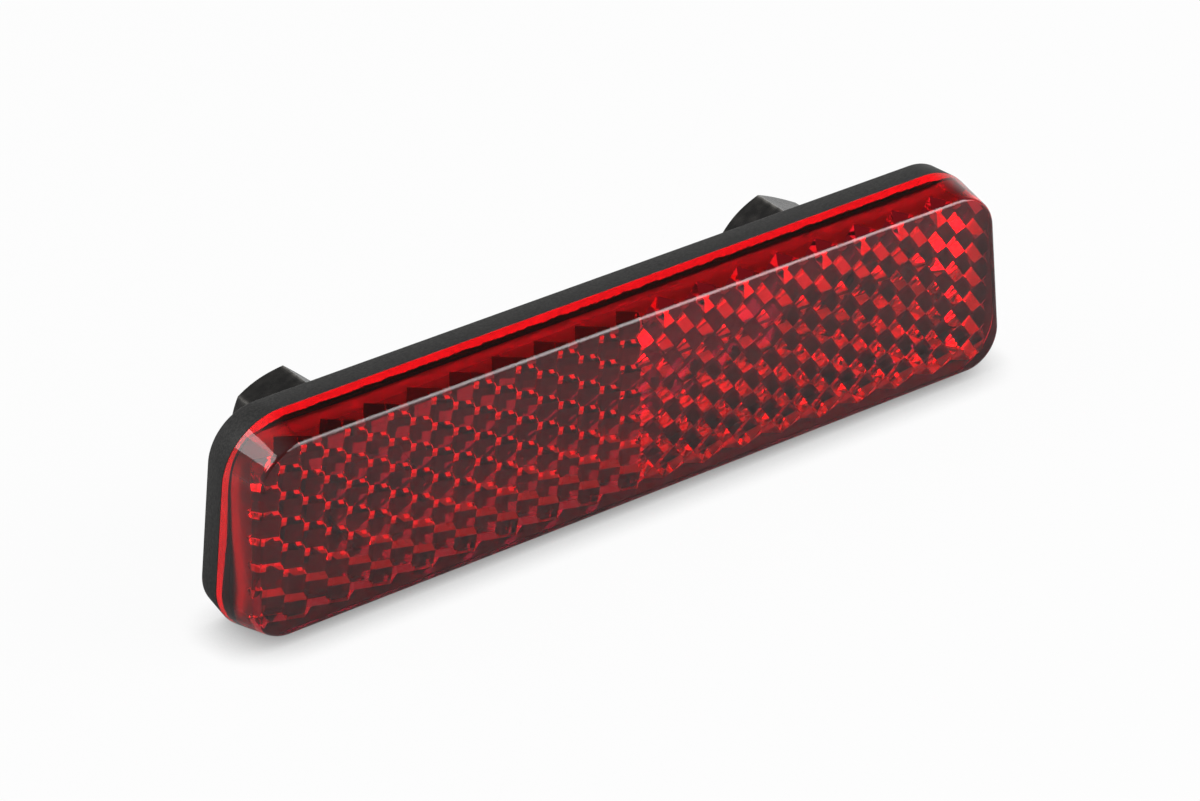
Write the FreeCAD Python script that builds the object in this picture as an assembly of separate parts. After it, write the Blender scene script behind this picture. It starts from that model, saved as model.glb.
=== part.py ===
"""Rear reflector for a bicycle rack: a red prismatic lens welded to a black housing with two studs and nuts.

Millimetres. The origin is on the flat rear face, midway between the studs. X runs along the reflector,
+Y points back towards the rack, -Y is the side that faces the traffic, and +Z is up.
"""
import math
import os

import FreeCAD, Part
from FreeCAD import Vector

# Face of the lens: a trapezoid with rounded corners, a little wider at the bottom
face_width = 75.0
face_height = 17.05
side_lean_deg = 5.8
face_top_radius = 3.8
face_bottom_radius = 3.25

# Lens moulding
lens_depth = 4.06
lens_flare = 1.02
seam_top_radius = 5.7
seam_bottom_radius = 4.4
face_edge_round = 0.45
plate_thickness = 0.75

# Corner-cube prisms on the inner side of the plate
cell_across_flats = 2.37
field_margin = 0.7
field_corner_margin = 0.2
field_trim = 0.02
field_end_run = 0.32

# Rear housing
housing_depth = 2.79
housing_taper = 0.44
rear_top_radius = 4.5
rear_bottom_radius = 3.75
rear_edge_round = 0.12
floor_thickness = 1.2
lip_height = 0.65
lip_wall = 1.0
lip_clearance = 0.1
collar_wall = 1.0
head_clearance = 0.1
hole_clearance = 0.2

# Studs
stud_spacing = 50.0
stud_diameter = 5.0
stud_length = 12.0
stud_tip_chamfer = 0.5
stud_tip_show = 0.4
head_across_flats = 8.0
head_height = 1.8

# Nuts
nut_across_flats = 8.0
nut_height = 4.7
nut_bore_clearance = 0.1
nut_chamfer_deg = 30.0
nut_face_share = 0.95
nut_countersink = 0.4
left_nut_turn_deg = 17.5
right_nut_turn_deg = 33.5

# Levels along Y
seam_y = -housing_depth
face_y = seam_y - lens_depth
floor_y = -floor_thickness
lip_y = seam_y - lip_height

# Hexagonal cells: flats up and down, so columns stand side by side and step by half a cell
column_pitch = cell_across_flats * math.sqrt(3) / 2
cell_radius = cell_across_flats / math.sqrt(3)
cube_step = cell_across_flats / math.sqrt(6)
tip_y = face_y + plate_thickness + 2 * cube_step

# The field holds whole columns on each side of the middle, and a whole number of rows and a half
half_columns = int((face_width / 2 - field_margin - cell_radius / 2) / column_pitch + 0.5)
whole_rows = int((face_height - 2 * field_margin) / cell_across_flats - 0.5)
field_half_width = (half_columns - 0.5) * column_pitch + cell_radius / 2 + field_end_run
field_half_height = (whole_rows + 0.5) * cell_across_flats / 2 - field_trim

# How far a cutting block runs past the face that it opens
cut_past = 1.0

BACK = Vector(0, 1, 0)


def section(y, grown, top_radius, bottom_radius):
    """Arcs of the four corners, anticlockwise from the top right, of the face's trapezoid grown by a distance."""
    lean = math.radians(side_lean_deg)
    side = face_width / 2 * math.cos(lean) + grown
    top_z = face_height / 2 + grown - top_radius
    low_z = bottom_radius - face_height / 2 - grown
    top_x = (side - top_radius - top_z * math.sin(lean)) / math.cos(lean)
    low_x = (side - bottom_radius - low_z * math.sin(lean)) / math.cos(lean)
    right_angle = math.pi / 2
    turns = [
        (top_x, top_z, top_radius, lean, right_angle),
        (-top_x, top_z, top_radius, right_angle, math.pi - lean),
        (-low_x, low_z, bottom_radius, math.pi - lean, math.pi + right_angle),
        (low_x, low_z, bottom_radius, -right_angle, lean),
    ]
    arcs = []
    for x, z, radius, start, end in turns:
        angles = (start, (start + end) / 2, end)
        arcs.append([Vector(x + radius * math.cos(a), y, z + radius * math.sin(a)) for a in angles])
    return arcs


def outline_face(arcs):
    """Flat face inside a section."""
    edges = []
    for arc, following in zip(arcs, arcs[1:] + arcs[:1]):
        edges.append(Part.Arc(*arc).toShape())
        edges.append(Part.makeLine(arc[2], following[0]))
    return Part.Face(Part.Wire(edges))


def solid_from(faces):
    """A closed solid sewn from its faces, with its inside on the right side."""
    shell = Part.makeShell(faces)
    shell.sewShape()
    solid = Part.makeSolid(Part.Shell(shell.Faces))
    if solid.Volume < 0:
        solid.reverse()
    return solid


def block_between(near, far):
    """Block between two sections: flat sides, and a ruled surface at each corner."""
    faces = [outline_face(near), outline_face(far)]
    for k in range(4):
        after = (k + 1) % 4
        faces.append(Part.makeRuledSurface(Part.Arc(*near[k]).toShape(), Part.Arc(*far[k]).toShape()))
        side = [near[k][2], near[after][0], far[after][0], far[k][2]]
        faces.append(Part.Face(Part.makePolygon(side + side[:1])))
    return solid_from(faces)


def rounded_end(block, y, radius):
    """The block with all edges of its end face at Y rounded."""
    edges = [edge for edge in block.Edges if all(abs(vertex.Y - y) < 1e-6 for vertex in edge.Vertexes)]
    return block.makeFillet(radius, edges)


def box_between(half_width, half_height, y0, y1):
    """Upright block centred on the Y axis."""
    return Part.makeBox(2 * half_width, y1 - y0, 2 * half_height, Vector(-half_width, y0, -half_height))


def field_block(shrink, y0, y1):
    """Straight block over the prism field: a rectangle whose corners follow the face's rounding."""
    inset = field_corner_margin + shrink
    rounding = [section(y, -inset, face_top_radius - inset, face_bottom_radius - inset) for y in (y0, y1)]
    block = box_between(field_half_width - shrink, field_half_height - shrink, y0, y1)
    return block.common(block_between(*rounding))


def cell_centres():
    """Column number and centre of every cell that reaches the field, with one more ring around it."""
    row_phase = (whole_rows + 0.5) / 2 % 1.0
    rows = whole_rows // 2 + 3
    for column in range(-half_columns, half_columns + 2):
        x = (column - 0.5) * column_pitch
        for row in range(-rows, rows):
            yield column, row, x, (row + row_phase + 0.5 * (column % 2)) * cell_across_flats


def prism_air(y_back):
    """Air behind the corner cubes, up to a flat at y_back.

    Seen from the front each hexagonal cell is the inner corner of a cube: the tip in the middle, three corners one
    step nearer the face, and the three between them two steps nearer. Right of the middle the cubes are turned half
    round, so along the middle each hexagon edge has a small upright triangle at either end.
    """
    cells = {}
    for column, row, x, z in cell_centres():
        turned = column > 0
        levels = [tip_y - (1 if (k % 2 == 1) == turned else 2) * cube_step for k in range(6)]
        places = [(x + cell_radius * math.cos(k * math.pi / 3), z + cell_radius * math.sin(k * math.pi / 3))
                  for k in range(6)]
        cells[column, row] = (turned, Vector(x, tip_y, z), [Vector(px, y, pz) for (px, pz), y in zip(places, levels)])

    def key(a, b):
        return round((a.x + b.x) * 3 / column_pitch), round((a.z + b.z) * 4 / cell_across_flats)

    owners = {}
    for name, (turned, _, ring) in cells.items():
        for k in range(6):
            owners.setdefault(key(ring[k], ring[(k + 1) % 6]), []).append((name, k))

    def lifted(point):
        return Vector(point.x, y_back, point.z)

    def flat(points):
        return Part.Face(Part.makePolygon(points + points[:1]))

    faces = []
    rim = []
    for name, (turned, tip, ring) in cells.items():
        split = {}
        for k in range(6):
            a, b = ring[k], ring[(k + 1) % 6]
            pair = owners[key(a, b)]
            if len(pair) == 1:
                faces.append(flat([a, b, lifted(b), lifted(a)]))
                rim.append(Part.makeLine(lifted(a), lifted(b)))
                continue
            other_name, other_k = pair[0] if pair[1][0] == name else pair[1]
            other_turned, _, other_ring = cells[other_name]
            if other_turned == turned:
                continue
            middle = (a + b) * 0.5
            split[k] = middle
            if turned:
                faces.append(flat([a, middle, other_ring[(other_k + 1) % 6]]))
                faces.append(flat([b, middle, other_ring[other_k]]))
        for k in ((1, 3, 5) if turned else (0, 2, 4)):
            rhombus = [tip]
            for side in (k, (k + 1) % 6):
                rhombus.append(ring[side])
                if side in split:
                    rhombus.append(split[side])
            rhombus.append(ring[(k + 2) % 6])
            faces.append(flat(rhombus))
    faces.append(Part.Face(Part.Wire(Part.sortEdges(rim)[0])))
    return solid_from(faces)


def seam_section():
    """Outline where the lens meets the housing, the widest of all."""
    return section(seam_y, lens_flare, seam_top_radius, seam_bottom_radius)


def prism_lens():
    """Red moulding: flared block with a rounded face edge, hollowed from behind down to the prisms."""
    face = section(face_y, 0, face_top_radius, face_bottom_radius)
    block = rounded_end(block_between(face, seam_section()), face_y, face_edge_round)
    hollow = field_block(0, face_y + plate_thickness / 2, seam_y + cut_past)
    return block.cut(prism_air(seam_y + 2 * cut_past).common(hollow))


def stud_places():
    """X of the two studs, left then right."""
    return (-stud_spacing / 2, stud_spacing / 2)


def hexagon(across_flats, x, y, length, turn_deg=0.0):
    """Hexagonal bar along +Y, with a corner straight up when the turn is 30 degrees."""
    reach = across_flats / math.sqrt(3)
    angles = [math.radians(turn_deg + 60 * k) for k in range(6)]
    points = [Vector(x + reach * math.cos(a), y, reach * math.sin(a)) for a in angles]
    return Part.Face(Part.makePolygon(points + points[:1])).extrude(BACK * length)


def rear_housing():
    """Black tray: tapering rim and floor, a lip inside the lens skirt, and a collar around each stud head."""
    rear = section(0, lens_flare - housing_taper, rear_top_radius, rear_bottom_radius)
    tray = rounded_end(block_between(seam_section(), rear), 0, rear_edge_round)
    tray = tray.fuse(field_block(lip_clearance, lip_y, seam_y + housing_depth / 2))
    tray = tray.cut(field_block(lip_clearance + lip_wall, lip_y - cut_past, floor_y))
    for x in stud_places():
        collar = hexagon(head_across_flats + 2 * (head_clearance + collar_wall), x, floor_y - head_height, head_height)
        pocket = hexagon(head_across_flats + 2 * head_clearance, x, floor_y - head_height, head_height)
        hole = Part.makeCylinder((stud_diameter + hole_clearance) / 2, floor_thickness, Vector(x, floor_y, 0), BACK)
        tray = tray.fuse(collar).cut(pocket).cut(hole)
    return tray.removeSplitter()


def mounting_studs():
    """Two bolts with thin hexagon heads, standing out behind the housing."""
    studs = []
    for x in stud_places():
        shank = Part.makeCylinder(stud_diameter / 2, stud_length, Vector(x, floor_y, 0), BACK)
        tip = [edge for edge in shank.Edges if all(v.Y > floor_y + stud_length / 2 for v in edge.Vertexes)]
        shank = shank.makeChamfer(stud_tip_chamfer, [edge for edge in tip if edge.Closed])
        studs.append(hexagon(head_across_flats, x, floor_y - head_height, head_height).fuse(shank).removeSplitter())
    return Part.makeCompound(studs)


def hex_nuts():
    """Two nuts near the ends of the studs, each turned as it happened to stop."""
    far_y = floor_y + stud_length - stud_tip_show
    near_y = far_y - nut_height
    bore = (stud_diameter + nut_bore_clearance) / 2
    corner = nut_across_flats / math.sqrt(3)
    face = nut_across_flats / 2 * nut_face_share
    slope = (corner - face) * math.tan(math.radians(nut_chamfer_deg))
    nuts = []
    for x, turn in zip(stud_places(), (left_nut_turn_deg, right_nut_turn_deg)):
        profile = [
            Vector(x + bore, near_y + nut_countersink, 0),
            Vector(x + bore + nut_countersink, near_y, 0),
            Vector(x + face, near_y, 0),
            Vector(x + corner, near_y + slope, 0),
            Vector(x + corner, far_y - slope, 0),
            Vector(x + face, far_y, 0),
            Vector(x + bore + nut_countersink, far_y, 0),
            Vector(x + bore, far_y - nut_countersink, 0),
        ]
        turned = Part.Face(Part.makePolygon(profile + profile[:1])).revolve(Vector(x, 0, 0), BACK, 360)
        nuts.append(hexagon(nut_across_flats, x, near_y, nut_height, turn).common(turned))
    return Part.makeCompound(nuts)


os.makedirs("parts", exist_ok=True)
for node in (prism_lens, rear_housing, mounting_studs, hex_nuts):
    shape = node()
    shape.exportStep("parts/" + node.__name__ + ".step")
    print(node.__name__, len(shape.Solids), "solids, valid", shape.isValid(), "volume", round(shape.Volume, 1))
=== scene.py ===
import math

import bmesh
import bpy
import numpy as np
from mathutils import Matrix, Vector


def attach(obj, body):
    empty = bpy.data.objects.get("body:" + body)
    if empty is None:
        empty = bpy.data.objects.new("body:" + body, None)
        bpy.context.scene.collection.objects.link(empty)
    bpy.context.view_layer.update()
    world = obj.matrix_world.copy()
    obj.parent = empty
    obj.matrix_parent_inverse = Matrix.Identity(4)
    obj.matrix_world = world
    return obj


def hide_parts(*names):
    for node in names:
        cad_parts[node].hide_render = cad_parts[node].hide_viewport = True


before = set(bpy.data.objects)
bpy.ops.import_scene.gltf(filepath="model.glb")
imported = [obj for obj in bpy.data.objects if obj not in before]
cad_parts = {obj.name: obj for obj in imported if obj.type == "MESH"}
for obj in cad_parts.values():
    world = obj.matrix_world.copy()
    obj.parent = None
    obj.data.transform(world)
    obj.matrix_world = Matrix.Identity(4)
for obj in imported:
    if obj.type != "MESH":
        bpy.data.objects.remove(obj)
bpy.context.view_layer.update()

# Rear housing
# A shallow black tray, injection moulded in ABS in a spark-eroded tool that leaves a fine grain. It is glossier
# inside, and along its rear edge a paler grey is painted on as a highlight. The lens stands on its rim, and a
# ragged bead of melted plastic welds the two.
MM = 0.001
face_width, face_height, side_lean = 75.0, 17.05, math.radians(5.8)
face_top_radius, face_low_radius = 3.8, 3.25
lens_flare, seam_top_radius, seam_low_radius = 1.02, 5.7, 4.4
housing_depth, housing_taper, floor_thickness = 2.79, 0.44, 1.2
rear_top_radius, rear_low_radius, rear_edge_round, rim_edge_round = 4.5, 3.75, 0.12, 0.05
rear_steps, rim_steps, rim_points_along = 5, 4, 320
seam_y = -housing_depth
pocket_half_width, pocket_half_height, pocket_corner_margin = 36.923, 7.6825, 0.2
lip_wall, lip_crown, lip_foot, lip_edge = 1.0, 0.05, 0.05, 0.1
bead_inset, bead_step, bead_bite, bead_ridge, bead_wall_margin = 1.3, 0.06, 0.02, 0.36, 0.08
bead_ragged, bead_calm, bead_lean, bead_draw_in = 0.16, 0.7, 0.07, 0.9995
end_from, end_run, end_drop, end_tilt, end_tilt_reach = 33.5, 3.0, 0.04, 0.035, 5.0


def outline(grown, top_radius, low_radius, steps=24, along=72):
    """The face's trapezoid grown by a distance, with round corners. On a corner a point is the corner's
    centre plus its radius times (cos a, sin a), a running from the normal of one side to that of the next;
    the centre lies one radius inside both sides. Straight runs join the corners. One ring per distance."""
    given = (np.atleast_1d(np.asarray(value, float)) for value in (grown, top_radius, low_radius))
    grown, top_radius, low_radius = (value.reshape(-1, 1) for value in np.broadcast_arrays(*given))
    side = 0.5 * face_width * math.cos(side_lean) + grown
    top_z = 0.5 * face_height + grown - top_radius
    low_z = low_radius - 0.5 * face_height - grown
    top_x = (side - top_radius - top_z * math.sin(side_lean)) / math.cos(side_lean)
    low_x = (side - low_radius - low_z * math.sin(side_lean)) / math.cos(side_lean)
    starts = np.array([side_lean, 0.5 * math.pi, math.pi - side_lean, 1.5 * math.pi])
    ends = np.array([0.5 * math.pi, math.pi - side_lean, 1.5 * math.pi, 2 * math.pi + side_lean])
    turn = starts[:, None] + (ends - starts)[:, None] * np.linspace(0, 1, steps)
    centre_x = np.stack([top_x, -top_x, -low_x, low_x], axis=1)
    centre_z = np.stack([top_z, top_z, low_z, low_z], axis=1)
    radius = np.stack([top_radius, top_radius, low_radius, low_radius], axis=1)
    corners = np.stack([centre_x + radius * np.cos(turn), centre_z + radius * np.sin(turn)], axis=-1)
    share = np.linspace(0, 1, along + 2)[1:-1][:, None]
    following = np.roll(corners[:, :, :1], -1, axis=1)
    straights = corners[:, :, -1:] * (1 - share) + following * share
    return np.concatenate([corners, straights], axis=2).reshape(len(grown), -1, 2)


def pocket_walls(steps=14):
    """The walls of the lens's pocket as unit normals and distances from the middle: four flat walls, and
    round each corner the tangents of the face's corner arc drawn in by a margin."""
    top_z, low_z = 0.5 * face_height - face_top_radius, face_low_radius - 0.5 * face_height
    side = 0.5 * face_width * math.cos(side_lean)
    top_x = (side - face_top_radius - top_z * math.sin(side_lean)) / math.cos(side_lean)
    low_x = (side - face_low_radius - low_z * math.sin(side_lean)) / math.cos(side_lean)
    top = np.linspace(side_lean, 0.5 * math.pi, steps)
    low = np.linspace(-0.5 * math.pi, side_lean, steps)
    flat_turn = [0, math.pi, 0.5 * math.pi, -0.5 * math.pi]
    turn = np.concatenate([top, math.pi - top, low, math.pi - low, flat_turn])
    normals = np.stack([np.cos(turn), np.sin(turn)], axis=-1)
    centres = np.repeat([[top_x, top_z], [-top_x, top_z], [low_x, low_z], [-low_x, low_z]], steps, axis=0)
    radii = np.repeat([face_top_radius, face_top_radius, face_low_radius, face_low_radius], steps)
    arcs = (centres * normals[: 4 * steps]).sum(axis=1) + radii - pocket_corner_margin
    flats = [pocket_half_width, pocket_half_width, pocket_half_height, pocket_half_height]
    return normals, np.concatenate([arcs, flats])


def pocket(ring, grown):
    """The pocket's outline grown by a distance: along the ray through each point of a ring, the reach to
    the nearest wall, which is the wall's distance over the cosine between the ray and its normal."""
    normals, distances = pocket_walls()
    ray = ring / np.linalg.norm(ring, axis=-1, keepdims=True)
    slant = ray @ normals.T
    reach = np.where(slant > 1e-6, (distances + grown) / np.maximum(slant, 1e-6), np.inf).min(axis=1)
    return ray * reach[:, None]


def weld_bead(rim):
    """The edge of the weld bead and its height, all round the rim. The edge lies inside the rim by a set
    distance and a sum of sines of the place along it, calmer at the part's ends, where it leans inwards
    towards the top; it stops short of the skirt's inner wall. At the ends the height falls towards the top
    and rises towards the bottom."""
    at_end = np.clip((np.abs(rim[:, 0]) - end_from) / end_run, 0, 1)
    run = rim[:, 0] + 1.7 * rim[:, 1]
    waves = 0.5 * np.sin(2.3 * run) * np.sin(0.37 * run + 1.0)
    waves = waves + 0.3 * np.sin(5.9 * run + 2.0) + 0.2 * np.sin(13.1 * run)
    skirt = np.linalg.norm(rim - pocket(rim, 0.0), axis=1)
    ragged = bead_inset * (1 - bead_ragged * waves * (1 - bead_calm * at_end))
    leaning = bead_lean * at_end * (rim[:, 1] - 1.0)
    inset = np.minimum(ragged + leaning, skirt - bead_wall_margin)
    along = np.roll(rim, -1, axis=0) - np.roll(rim, 1, axis=0)
    inward = np.stack([-along[:, 1], along[:, 0]], axis=-1) / np.linalg.norm(along, axis=1, keepdims=True)
    height = bead_ridge - at_end * (end_drop + end_tilt * np.clip(rim[:, 1], -end_tilt_reach, end_tilt_reach))
    return rim + inward * inset[:, None], height


def rings_at(plan, depth):
    """Rings of plan points (x, z) set at their depths y, as one array of places in metres."""
    depth = np.broadcast_to(np.reshape(depth, (len(plan), -1)), plan.shape[:2])
    return np.stack([plan[..., 0], depth, plan[..., 1]], axis=-1) * MM


def skin(rings, near_cap=True, far_cap=True):
    """A closed skin over rings of equal count: quads between neighbouring rings, and a flat cap on an end."""
    rows, count = rings.shape[:2]
    at = np.arange(rows * count).reshape(rows, count)
    after = np.roll(at, -1, axis=1)
    quads = np.stack([at[:-1], after[:-1], after[1:], at[1:]], axis=-1).reshape(-1, 4).tolist()
    caps = ([at[0][::-1].tolist()] if near_cap else []) + ([at[-1].tolist()] if far_cap else [])
    return rings.reshape(-1, 3), quads + caps


def dressed(mesh, name, node, materials, crease):
    """Adds a piece with its finishes, smooth but for edges sharper than the crease, ties it to its body and
    hides the CAD node that it stands in for."""
    for material in materials:
        mesh.materials.append(material)
    mesh.shade_smooth()
    mesh.set_sharp_from_angle(angle=math.radians(crease))
    made = bpy.data.objects.new(name, mesh)
    bpy.context.scene.collection.objects.link(made)
    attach(made, "root")
    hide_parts(node)


def piece(name, node, slot_name, places, faces, material, wear_and_highlight, crease=30, lining=None):
    """Adds a piece from its places and faces. Wear is a number for each place, from none to rubbed bright; on
    the rear tray it is a painted highlight along the rear edge instead.
    A lining is a second finish and the numbers of the faces that have it."""
    mesh = bpy.data.meshes.new(name)
    mesh.from_pydata(places, [], faces)
    worn_and_highlit = mesh.attributes.new("wear_and_highlight", "FLOAT", "POINT")
    worn_and_highlit.data.foreach_set("value", np.ascontiguousarray(wear_and_highlight, np.float32))
    work = bmesh.new()
    work.from_mesh(mesh)
    bmesh.ops.remove_doubles(work, verts=work.verts, dist=1e-7)
    bmesh.ops.recalc_face_normals(work, faces=work.faces)
    work.to_mesh(mesh)
    work.free()
    materials = [material]
    if lining:
        second, lined_faces = lining
        lined = np.zeros(len(faces), np.int32)
        lined[lined_faces] = 1
        materials.append(second)
        mesh.polygons.foreach_set("material_index", lined)
    dressed(mesh, name, node, materials, crease)


class Shade:
    """A socket in a finish's node tree: arithmetic on it adds Math nodes, and node() adds any other."""

    def __init__(self, tree, socket=None):
        self.tree, self.socket = tree, socket

    def node(self, kind, settings=None, sockets=None, output=0):
        """A node of any kind: its settings are set first, then its sockets get values or links."""
        made = self.tree.nodes.new("ShaderNode" + kind)
        for name, value in (settings or {}).items():
            setattr(made, name, value)
        for name, value in (sockets or {}).items():
            if isinstance(value, Shade):
                self.tree.links.new(value.socket, made.inputs[name])
            else:
                made.inputs[name].default_value = value
        return Shade(self.tree, made.outputs[output])

    def maths(self, operation, *others):
        """A Math node that starts from this value."""
        return self.node("Math", {"operation": operation}, dict(enumerate((self, *others))))

    def __add__(self, other):
        return self.maths("ADD", other)

    def __sub__(self, other):
        return self.maths("SUBTRACT", other)

    def __rsub__(self, other):
        return self.node("Math", {"operation": "SUBTRACT"}, {0: other, 1: self})

    def __mul__(self, other):
        return self.maths("MULTIPLY", other)

    __radd__, __rmul__ = __add__, __mul__

    def place(self):
        """The place on the piece, in its own coordinates."""
        return self.node("TexCoord", output="Object")

    def noise(self, scale, detail=2.0, stretch=(1, 1, 1)):
        """Cloudy noise over the piece, finer with scale and drawn out by a stretch."""
        where = self.node("Mapping", sockets={"Vector": self.place(), "Scale": stretch})
        return self.node("TexNoise", sockets={"Vector": where, "Scale": scale, "Detail": detail})

    def across(self):
        """Distance from the part's middle, to the left or right."""
        return self.node("SeparateXYZ", sockets={0: self.place()}, output=0).maths("ABSOLUTE")

    def forward(self):
        """Place from front to back."""
        return self.node("SeparateXYZ", sockets={0: self.place()}, output=1)

    def wear_and_highlight(self):
        """How far the surface is rubbed, as stored on the mesh; on the rear tray, how strong the painted
        highlight is.
        """
        return self.node("Attribute", {"attribute_name": "wear_and_highlight"}, output="Fac")

    def ramp(self, low, high):
        """This value mapped to 0 at low and 1 at high, and held there beyond."""
        return self.node("MapRange", {"clamp": True}, {"Value": self, "From Min": low, "From Max": high})

    def blend(self, first, second):
        """A colour between two, by this value."""
        return self.node("Mix", {"data_type": "RGBA"}, {0: self, 6: first, 7: second}, output=2)


def finish(name, even, varied=None, bump=None):
    """A finish of the part: even values go straight on the shader's sockets, varied ones are worked out by
    nodes, and bump is a height with its strength and its distance in metres."""
    material = bpy.data.materials.new(name)
    material.use_nodes = True
    tree = material.node_tree
    shader = tree.nodes["Principled BSDF"]
    for socket, value in even.items():
        shader.inputs[socket].default_value = value
    start = Shade(tree)
    for socket, work in (varied or {}).items():
        tree.links.new(work(start).socket, shader.inputs[socket])
    if bump:
        height, strength, distance = bump
        sockets = {"Height": height(start), "Strength": strength, "Distance": distance}
        raised = start.node("Bump", sockets=sockets)
        tree.links.new(raised.socket, shader.inputs["Normal"])
    return material


rear_turn = np.linspace(0.5 * math.pi, 0, rear_steps)
rim_turn = np.linspace(0, 0.5 * math.pi, rim_steps)
wall_grown = np.concatenate([
    lens_flare - housing_taper - rear_edge_round * (1 - np.cos(rear_turn)),
    lens_flare - rim_edge_round * (1 - np.cos(rim_turn)),
])
wall_depth = np.concatenate([
    rear_edge_round * (np.sin(rear_turn) - 1),
    seam_y + rim_edge_round * (1 - np.sin(rim_turn)),
])
wall_top_radius = np.repeat([rear_top_radius, seam_top_radius], [rear_steps, rim_steps])
wall_low_radius = np.repeat([rear_low_radius, seam_low_radius], [rear_steps, rim_steps])
wall_plan = outline(wall_grown, wall_top_radius, wall_low_radius, along=rim_points_along)
rim = wall_plan[-1]
bead_edge, bead_height = weld_bead(rim)
level = np.zeros(len(rim))
lip_plan = np.stack([
    bead_edge,
    bead_edge * bead_draw_in,
    pocket(rim, bead_bite),
    pocket(rim, bead_bite),
    pocket(rim, -lip_edge),
    pocket(rim, -lip_wall),
    pocket(rim, -lip_wall - lip_foot),
])
lip_depth = np.stack([
    level + seam_y,
    level + seam_y - bead_step,
    level + seam_y - bead_step,
    seam_y - bead_height,
    seam_y - bead_height - lip_crown,
    seam_y - bead_height,
    level - floor_thickness,
])
tray_places, tray_faces = skin(np.concatenate([rings_at(wall_plan, wall_depth), rings_at(lip_plan, lip_depth)]))
inner_wall = np.arange(len(tray_faces) - 2 - len(rim), len(tray_faces) - 2)
inner_floor = len(tray_faces) - 1
# Painted highlight: rows of the rear edge's round carry a paler grey in the base colour, standing in for the
# edge's light line.
tray_painted_highlight = np.zeros((len(wall_plan) + len(lip_plan), len(rim)))
tray_painted_highlight[1:4] = np.array([0.7, 1.0, 0.7])[:, None]
grain_dark, grain_pale = (0.005, 0.005, 0.0048, 1), (0.021, 0.020, 0.019, 1)
painted_highlight_grey = (0.15, 0.145, 0.135, 1)
# The grain's two greys, with the painted highlight's paler grey blended in along the rear edge.
housing_black = finish(
    "housing_black",
    {"Specular IOR Level": 0.26},
    {
        "Base Color": lambda s: (s.wear_and_highlight() * s.noise(800.0).ramp(0.3, 0.6)).blend(
            s.noise(5600.0).ramp(0.35, 0.65).blend(grain_dark, grain_pale), painted_highlight_grey
        ),
        "Roughness": lambda s: 0.46 + 0.16 * s.noise(2600.0),
    },
    (lambda s: s.noise(6500.0), 0.7, 0.00004),
)
housing_inside = finish(
    "housing_inside",
    {"Base Color": (0.02, 0.018, 0.018, 1), "Specular IOR Level": 0.5},
    {"Roughness": lambda s: 0.35 + 0.2 * s.noise(600.0)},
)
piece(
    "rear_tray", "rear_housing", "housing_black", tray_places, tray_faces, housing_black, tray_painted_highlight.ravel(),
    crease=35, lining=(housing_inside, np.append(inner_wall, inner_floor)),
)

# Mounting studs
# Two M5 screws of black zinc-plated steel, set head first through the housing's floor before the lens
# goes on. The rolled thread stands out behind for the nuts, and its crests are rubbed bright.
stud_spacing, stud_radius, stud_length, thread_pitch, thread_depth = 50.0, 2.5, 12.0, 0.8, 0.45
thread_steepness, thread_flat = 1.35, 0.15
head_flats, head_height, head_edge, head_face_share, tip_chamfer = 8.0, 1.8, 0.2, 0.96, 0.5
shank_points, shank_rows, tip_rows, crest_depth = 48, 140, 7, 0.08


def once_round(count):
    """Even angles once round, without the last, which would repeat the first."""
    return np.linspace(0, 2 * math.pi, count + 1)[:-1]


def hexagon_reach(turn, flats, turned=0.0):
    """Distance from the middle of a hexagon to its side, by the angle: half its width across flats over the
    cosine of the angle from the nearest flat's normal."""
    step = math.pi / 3
    return 0.5 * flats / np.cos((turn - turned) % step - 0.5 * step)


def threaded_shank(x):
    """A screw with a hexagon head. Along the shank the radius falls from the crest by the thread's depth
    times a trapezoid wave of the place along the screw less the pitch times the turn; a cone trims the tip.
    Wear runs from none to full over the last of the crest."""
    turn = once_round(shank_points)
    tip = stud_length - floor_thickness
    straight = np.linspace(-floor_thickness, tip - tip_chamfer, shank_rows)
    y = np.concatenate([straight, np.linspace(tip - tip_chamfer, tip, tip_rows)[1:]])
    phase = (y[:, None] / thread_pitch - turn / (2 * math.pi)) % 1.0
    wave = np.clip(thread_steepness * np.abs(2 * phase - 1) - thread_flat, 0, 1)
    radius = np.minimum(stud_radius - thread_depth * wave, stud_radius - tip_chamfer + (tip - y)[:, None])
    head = hexagon_reach(turn, head_flats)
    head_reach = np.stack([head * head_face_share, head, head])
    head_y = np.array([-head_height, head_edge - head_height, 0.0]) - floor_thickness
    reach, depth = np.concatenate([head_reach, radius]), np.concatenate([head_y, y])
    plan = np.stack([x + reach * np.cos(turn), reach * np.sin(turn)], axis=-1)
    crest = np.clip((reach - stud_radius + crest_depth) / crest_depth, 0, 1)
    worn_and_highlit = crest * (depth > -floor_thickness)[:, None]
    return skin(rings_at(plan, depth)), worn_and_highlit.ravel()


def joined(*skins):
    """Several skins as one list of places and faces."""
    shift = np.cumsum([0] + [len(places) for places, _ in skins[:-1]])
    faces = [[int(i + s) for i in face] for (_, many), s in zip(skins, shift) for face in many]
    return np.concatenate([places for places, _ in skins]), faces


plated_dark, plated_pale = (0.030, 0.029, 0.028, 1), (0.075, 0.072, 0.068, 1)
crest_bright = (0.30, 0.29, 0.27, 1)
stud_black = finish(
    "stud_black_zinc",
    {"Metallic": 0.85, "Specular IOR Level": 0.5},
    {
        "Base Color": lambda s: (s.wear_and_highlight() * s.noise(900.0).ramp(0.3, 0.6)).blend(
            s.noise(700.0, 3.0).ramp(0.35, 0.7).blend(plated_dark, plated_pale), crest_bright
        ),
        "Roughness": lambda s: 0.34 + 0.2 * s.noise(1500.0),
    },
)
left_shank, left_wear = threaded_shank(-0.5 * stud_spacing)
right_shank, right_wear = threaded_shank(0.5 * stud_spacing)
piece(
    "threaded_studs", "mounting_studs", "stud_steel", *joined(left_shank, right_shank), stud_black,
    np.concatenate([left_wear, right_wear]),
)

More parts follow.
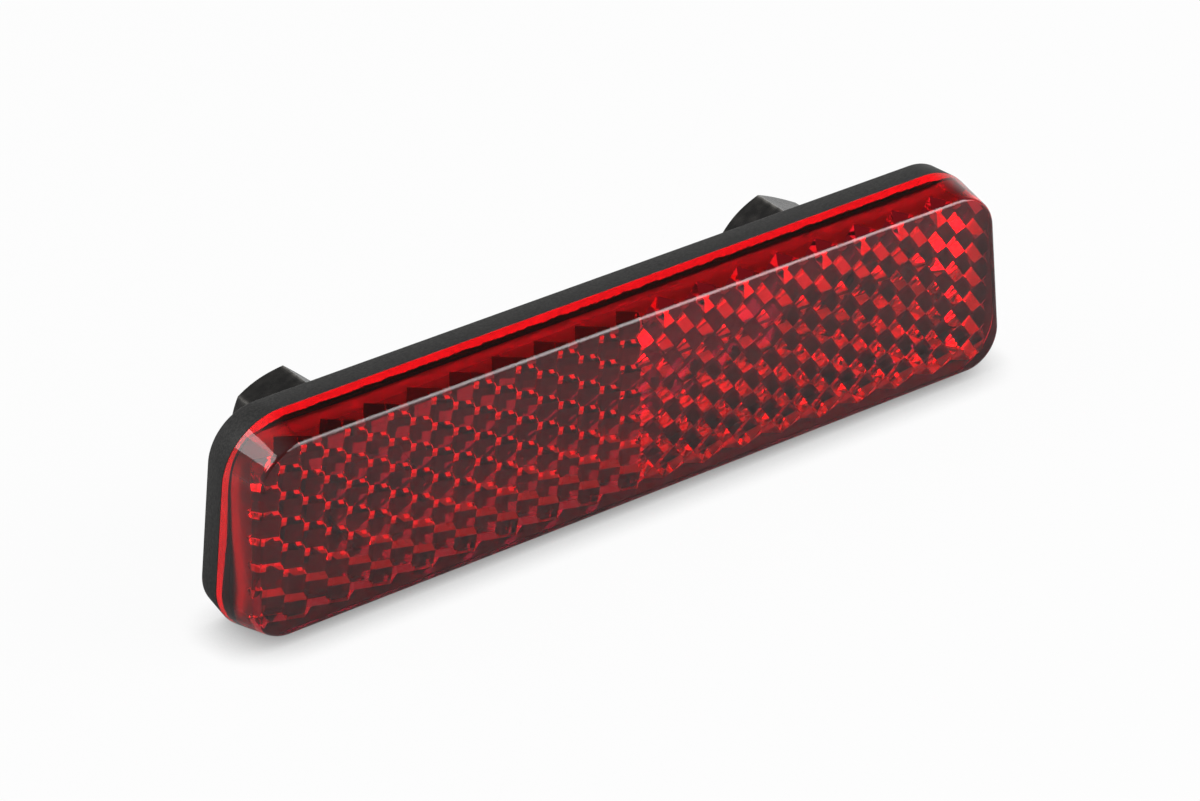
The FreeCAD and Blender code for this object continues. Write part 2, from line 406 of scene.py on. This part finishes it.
# Prism lens
# The red acrylic front, moulded clear and polished outside. Its inner face is a field of cube-corner prisms
# in two halves that lean opposite ways; the skirt's inner wall is left matt and its foot stands on the rim.
lens_depth, plate_thickness, face_edge_round, edge_steps = 4.06, 0.75, 0.45, 9
foot_gap, foot_edge_inset, foot_edge_height, skirt_edge_inset = 0.02, 0.04, 0.04, 0.01
face_y = seam_y - lens_depth
cell_flats, half_columns, half_rows, row_phase = 2.37, 18, 6, 0.25
joint_round, joint_from_tip = 0.014, 0.1
cube_step = cell_flats / math.sqrt(6)
tip_y = face_y + plate_thickness + 2 * cube_step
polished, matt, side_wall = 0, 1, 2


def lens_outside():
    """The polished outside: a flat front, a quarter-round edge and a drafted wall, carried round the outline.
    The edge's arc touches the front and the wall; the corner radii grow evenly with the wall's spread. The
    finish of each face comes third."""
    slope = math.atan2(lens_flare, lens_depth)
    middle = -face_edge_round * (1 - math.sin(slope)) / math.cos(slope)
    turn = np.linspace(-0.5 * math.pi, -slope, edge_steps)
    wall_spread = [0.5 * lens_flare, lens_flare - skirt_edge_inset, lens_flare - foot_edge_inset]
    wall_y = [face_y + 0.5 * lens_depth, seam_y - foot_edge_height - foot_gap, seam_y - foot_gap]
    spread = np.concatenate([middle + face_edge_round * np.cos(turn), wall_spread])
    depth = np.concatenate([face_y + face_edge_round * (1 + np.sin(turn)), wall_y])
    share = spread / lens_flare
    top_radius = face_top_radius + (seam_top_radius - face_top_radius) * share
    low_radius = face_low_radius + (seam_low_radius - face_low_radius) * share
    plan = outline(spread, top_radius, low_radius)
    places, faces = skin(rings_at(plan, depth), far_cap=False)
    rows, count = plan.shape[:2]
    finishes = np.full(len(faces), polished, np.int32)
    finishes[(edge_steps - 1) * count:(rows - 1) * count] = side_wall
    return places, faces, finishes


def prism_field():
    """Every hexagonal cell at once: three square mirrors that meet at a tip. Corners of the hexagon lie one
    and two cube steps in front of the tip by turns; the halves swap the turns. Middles of the hexagon's sides
    are kept as points, so that where the halves meet their crossing edges close by two small triangles."""
    columns, rows = np.arange(-half_columns, half_columns + 2), np.arange(-half_rows, half_rows + 1)
    column, row = (value.ravel() for value in np.meshgrid(columns, rows))
    x = (column - 0.5) * cell_flats * math.sqrt(3) / 2
    z = (row + row_phase + 0.5 * (column % 2)) * cell_flats
    k = np.arange(6)
    turned = (column > 0)[:, None]
    steps = np.where((k % 2 == 1) == turned, 1.0, 2.0)
    radius, turn = cell_flats / math.sqrt(3), k * math.pi / 3
    corner_x, corner_z = x[:, None] + radius * np.cos(turn), z[:, None] + radius * np.sin(turn)
    corner = np.stack([corner_x, tip_y - cube_step * steps, corner_z], axis=-1)
    middle = 0.5 * (corner + np.roll(corner, -1, axis=1))
    tip = np.stack([x, np.full(len(x), tip_y), z], axis=-1)[:, None]
    places = np.concatenate([tip, corner, middle], axis=1)
    cells, points = places.shape[:2]
    first = np.array([0, 2, 4]) + turned
    second, third = (first + 1) % 6, (first + 2) % 6
    sides = np.stack([np.zeros_like(first), 1 + first, 7 + first, 1 + second, 7 + second, 1 + third], axis=-1)
    sides = sides + points * np.arange(cells)[:, None, None]
    seam, seam_middle = corner[column == 0], middle[column == 0]
    mirrored = seam.copy()
    mirrored[..., 1] = 2 * tip_y - 3 * cube_step - seam[..., 1]
    ends_and_middles = ((0, 0), (1, 0), (5, 5), (0, 5))
    closing = np.stack([
        np.stack([seam[:, end], seam_middle[:, mid], mirrored[:, end]], axis=1) for end, mid in ends_and_middles
    ], axis=1).reshape(-1, 3)
    triangles = cells * points + np.arange(len(closing)).reshape(-1, 3)
    all_places = np.concatenate([places.reshape(-1, 3), closing]) * MM
    return all_places, sides.reshape(-1, 6).tolist() + triangles.tolist()


def lens_mesh():
    """The prism field with its joints rounded, trimmed to the pocket, its border drawn back to the foot as the
    skirt's inner wall, and the foot filled between that wall and the outside."""
    mesh = bpy.data.meshes.new("prism_lens")
    places, faces = prism_field()
    mesh.from_pydata(places, [], faces)
    work = bmesh.new()
    work.from_mesh(mesh)
    bmesh.ops.remove_doubles(work, verts=work.verts, dist=2e-7)
    joints = [
        edge for edge in work.edges
        if len(edge.link_faces) == 2 and all(len(face.verts) == 6 for face in edge.link_faces)
        and max(vertex.co.y for vertex in edge.verts) < (tip_y - joint_from_tip) * MM
    ]
    bmesh.ops.bevel(
        work, geom=joints, offset=joint_round * MM, offset_type="OFFSET", segments=1, profile=0.5,
        affect="EDGES", clamp_overlap=True,
    )
    for normal, distance in zip(*pocket_walls()):
        side = Vector((normal[0], 0, normal[1]))
        bmesh.ops.bisect_plane(
            work, geom=work.verts[:] + work.edges[:] + work.faces[:], dist=1e-8,
            plane_co=side * distance * MM, plane_no=side, clear_outer=True,
        )
    border = [edge for edge in work.edges if edge.is_boundary]
    drawn = bmesh.ops.extrude_edge_only(work, edges=border)["geom"]
    for vertex in (part for part in drawn if isinstance(part, bmesh.types.BMVert)):
        vertex.co.y = (seam_y - foot_gap) * MM
    for face in (part for part in drawn if isinstance(part, bmesh.types.BMFace)):
        face.material_index = matt
    outside = bpy.data.meshes.new("lens_outside")
    places, faces, finishes = lens_outside()
    outside.from_pydata(places, [], faces)
    outside.polygons.foreach_set("material_index", finishes)
    work.from_mesh(outside)
    bpy.data.meshes.remove(outside)
    bmesh.ops.remove_doubles(work, verts=work.verts, dist=1e-8)
    open_edges = [edge for edge in work.edges if edge.is_boundary]
    bmesh.ops.triangle_fill(work, use_beauty=True, edges=open_edges)
    bmesh.ops.recalc_face_normals(work, faces=work.faces)
    work.to_mesh(mesh)
    work.free()
    return mesh


# Light that runs along the skirt crosses more plastic than light through the plate, so its red is deeper.
clear_acrylic = {"Transmission Weight": 1.0, "IOR": 1.49}
plate_red, skirt_red = (0.97, 0.006, 0.06, 1), (0.97, 0.006, 0.012, 1)
lens_red = finish(
    "lens_red_acrylic",
    {"Base Color": plate_red, **clear_acrylic},
    {
        "Roughness": lambda s: 0.25 * s.noise(420.0, 3.0, (0.7, 1.0, 16.0)).ramp(0.70, 0.76)
        * s.forward().ramp(-0.0066, -0.0068)
    },
)
lens_matt = finish(
    "lens_red_matt",
    {"Base Color": skirt_red, **clear_acrylic},
    {"Roughness": lambda s: 0.475 + 0.2 * s.noise(1800.0) - 0.175 * s.across().ramp(0.0355, 0.0365)},
)
lens_side = finish(
    "lens_red_side",
    {"Base Color": skirt_red, **clear_acrylic},
    {"Roughness": lambda s: 0.12 * s.noise(420.0, 3.0, (0.7, 9.0, 1.0)).ramp(0.70, 0.76)},
)
dressed(lens_mesh(), "red_prism_lens", "prism_lens", [lens_red, lens_matt, lens_side], crease=28)

# Hexagon nuts
# Two M5 nuts in black zinc-plated steel, cold formed with a 30 degree chamfer at both ends, run up by hand
# on the studs so that each stopped at its own angle. Their corners are rubbed bright.
nut_flats, nut_height, nut_bore, nut_countersink, nut_from_tip = 8.0, 4.7, 4.9, 0.4, 0.4
nut_points, nut_face_radius, nut_chamfer = 144, 0.475 * nut_flats, math.radians(30)
left_nut_turn, right_nut_turn = math.radians(17.5), math.radians(33.5)
nut_far_y = stud_length - floor_thickness - nut_from_tip
nut_near_y = nut_far_y - nut_height


def chamfered_nut(x, turned):
    """A nut as a profile for every angle: bore, countersink, round end face, then a cone at 30 degrees out to
    the hexagon's side, straight along the flat, and the same again at the other end."""
    turn = turned + once_round(nut_points)
    side = hexagon_reach(turn, nut_flats, turned)
    bore, face = np.full_like(turn, 0.5 * nut_bore), np.full_like(turn, nut_face_radius)
    sunk = bore + nut_countersink
    drop = (side - face) * math.tan(nut_chamfer)
    near, far = np.full_like(turn, nut_near_y), np.full_like(turn, nut_far_y)
    reach = np.stack([bore, sunk, face, side, side, face, sunk, bore, bore])
    near_bore, far_bore = near + nut_countersink, far - nut_countersink
    depth = np.stack([near_bore, near, near, near + drop, far - drop, far, far, far_bore, near_bore])
    plan = np.stack([x + reach * np.cos(turn), reach * np.sin(turn)], axis=-1)
    return skin(rings_at(plan, depth), near_cap=False, far_cap=False)


def nut_wear():
    """Wear for each place of a nut, ring by ring: full on the corners, where the hexagon's reach is near its
    greatest, slight round the end faces and none in the bore."""
    over_flat = hexagon_reach(once_round(nut_points), nut_flats) / (0.5 * nut_flats) - 1
    corner = np.clip(5 * over_flat / (2 / math.sqrt(3) - 1) - 4, 0, 1)
    plain, rubbed = np.zeros_like(corner), np.full_like(corner, 0.4)
    return np.concatenate([plain, plain, rubbed, corner, corner, rubbed, plain, plain, plain])


nut_dark, nut_pale = (0.009, 0.0085, 0.008, 1), (0.028, 0.026, 0.024, 1)
corner_bright = (0.22, 0.21, 0.195, 1)
nut_black = finish(
    "nut_black_zinc",
    {"Metallic": 0.7, "Specular IOR Level": 0.5},
    {
        "Base Color": lambda s: (s.wear_and_highlight() * s.noise(900.0).ramp(0.25, 0.6)).blend(
            s.noise(900.0, 3.0).ramp(0.35, 0.7).blend(nut_dark, nut_pale), corner_bright
        ),
        "Roughness": lambda s: 0.19 + 0.16 * s.noise(1700.0),
    },
)
left_nut = chamfered_nut(-0.5 * stud_spacing, left_nut_turn)
right_nut = chamfered_nut(0.5 * stud_spacing, right_nut_turn)
piece(
    "black_hex_nuts", "hex_nuts", "nut_black", *joined(left_nut, right_nut), nut_black,
    np.tile(nut_wear(), 2),
)

# Stage
# A white table that the part stands on and shades, in a dim room with paler and darker patches. The camera and
# light through the lens see mostly the table's own white glow, with a painted shadow near the part where
# ambient occlusion darkens the glow; far from the part, reflections see the glow too.
# One soft box hangs behind on the left, and a broad one with a hotter middle in front on the right.
floor_z, floor_reach = -0.5 * face_height - lens_flare, 1.5
floor_grey, painted_shadow_grey, plain_white = (0.42, 0.42, 0.42, 1), (0.26, 0.26, 0.26, 1), (1, 1, 1, 1)
painted_shadow_reach, white_from, white_to = 0.0042, 0.06, 0.15
floor_corners = np.array([[-1, -1], [1, -1], [1, 1], [-1, 1]]) * floor_reach
floor_mesh = bpy.data.meshes.new("floor")
floor_mesh.from_pydata(np.column_stack([floor_corners, np.full(4, floor_z * MM)]), [], [(0, 1, 2, 3)])
floor = bpy.data.objects.new("floor", floor_mesh)
bpy.context.scene.collection.objects.link(floor)
floor_white = finish("floor_white", {"Base Color": floor_grey, "Roughness": 0.9, "Specular IOR Level": 0.1})
floor_nodes, floor_links = floor_white.node_tree.nodes, floor_white.node_tree.links
table = Shade(floor_white.node_tree)
seen_straight, seen_in_gloss, seen_through = (
    table.node("LightPath", output=kind) for kind in ("Is Camera Ray", "Is Glossy Ray", "Is Transmission Ray")
)
# Painted shadow: where ambient occlusion finds the part close by, the table's glow turns grey, for the camera
# and for light through the lens.
open_sky = table.node("AmbientOcclusion", {"samples": 8}, {"Distance": painted_shadow_reach}, output="AO")
white = open_sky.ramp(0.0, 0.85).blend(painted_shadow_grey, plain_white)
glow_with_painted_shadow = table.node("Emission", sockets={"Color": white, "Strength": 1.0})
lit = Shade(floor_white.node_tree, floor_nodes["Principled BSDF"].outputs[0])
from_part = table.node("VectorMath", {"operation": "LENGTH"}, {0: table.place()}, output="Value")
white_share = 0.95 * (seen_straight + seen_through) + 0.9 * seen_in_gloss * from_part.ramp(white_from, white_to)
shown = table.node("MixShader", sockets={0: white_share, 1: lit, 2: glow_with_painted_shadow})
floor_links.new(shown.socket, floor_nodes["Material Output"].inputs["Surface"])
floor_mesh.materials.append(floor_white)

room = bpy.data.worlds.new("room")
room.use_nodes = True
bpy.context.scene.world = room
air = Shade(room.node_tree)
way = air.node("TexCoord", output="Generated")


def towards(direction):
    """The cosine of the angle between a place in the room and a direction."""
    return air.node("VectorMath", {"operation": "DOT_PRODUCT"}, {0: way, 1: direction}, output="Value")


def patch(direction, sharpness):
    """A soft patch of the room round a direction: the cosine from it, none behind, to a power."""
    return towards(direction).maths("MAXIMUM", 0.0).maths("POWER", sharpness)


dim = 0.50 + 0.38 * towards((-0.75, 0.66, 0))
dim = dim * (1 - 0.8 * patch((0.512, 0.372, 0.774), 7.0)) * (1 - 0.7 * patch((-0.235, -0.875, 0.423), 8.0))
pale = 0.6 * patch((0.905, -0.242, 0.350), 16.0) + 0.42 * patch((0.42, -0.90, 0.12), 10.0)
pale = pale + 0.5 * patch((0.717, 0.695, 0.05), 16.0)
behind = air.node("LightPath", output="Is Camera Ray")
room_light = (dim + pale) * (1 - behind) + behind
room.node_tree.links.new(room_light.socket, room.node_tree.nodes["Background"].inputs["Color"])


def soft_box(name, direction, distance, width, height, brightness):
    """A rectangular lamp that faces the part; its watts are its brightness times pi times its area."""
    lamp = bpy.data.lights.new(name, "AREA")
    lamp.shape, lamp.size, lamp.size_y = "RECTANGLE", width, height
    lamp.energy = brightness * math.pi * width * height
    made = bpy.data.objects.new(name, lamp)
    bpy.context.scene.collection.objects.link(made)
    out = Vector(direction).normalized()
    made.location = out * distance
    made.rotation_euler = out.to_track_quat("Z", "Y").to_euler()


soft_box("soft_box_left", (-0.68, 0.27, 0.68), 0.7, 0.5, 0.35, 4.3)
soft_box("soft_box_right", (0.516, -0.661, 0.545), 0.6, 0.62, 0.42, 3.6)
soft_box("soft_box_right_core", (0.537, -0.420, 0.731), 0.6, 0.34, 0.40, 5.2)

# Camera
# A long lens on a stand in front of the part, to its left and above it, with the part across the middle of
# the frame. Its place is given in widths of a prism cell from a point on the part.
swing, rise = math.radians(36.347), math.radians(30.611)
stand_back, stand_right, stand_up, aim = 171.094, 6.064, 1.572, Vector((-9.335, -2.79, 1.725))
right = Vector((math.cos(swing), -math.sin(swing), 0))
up = Vector((math.sin(rise) * math.sin(swing), math.sin(rise) * math.cos(swing), math.cos(rise)))
back = right.cross(up)
stand = (back * stand_back + right * stand_right + up * stand_up + aim) * cell_flats * MM
camera_data = bpy.data.cameras.new("camera")
camera_data.sensor_width, camera_data.lens = 36.0, 153.985
camera_data.clip_start, camera_data.clip_end = 0.01, 10.0
camera = bpy.data.objects.new("camera", camera_data)
camera.matrix_world = Matrix.Translation(stand) @ Matrix((right, up, back)).transposed().to_4x4()
scene = bpy.context.scene
scene.collection.objects.link(camera)
scene.camera = camera
scene.view_settings.view_transform = "Standard"
scene.cycles.max_bounces, scene.cycles.transmission_bounces, scene.cycles.glossy_bounces = 24, 24, 16
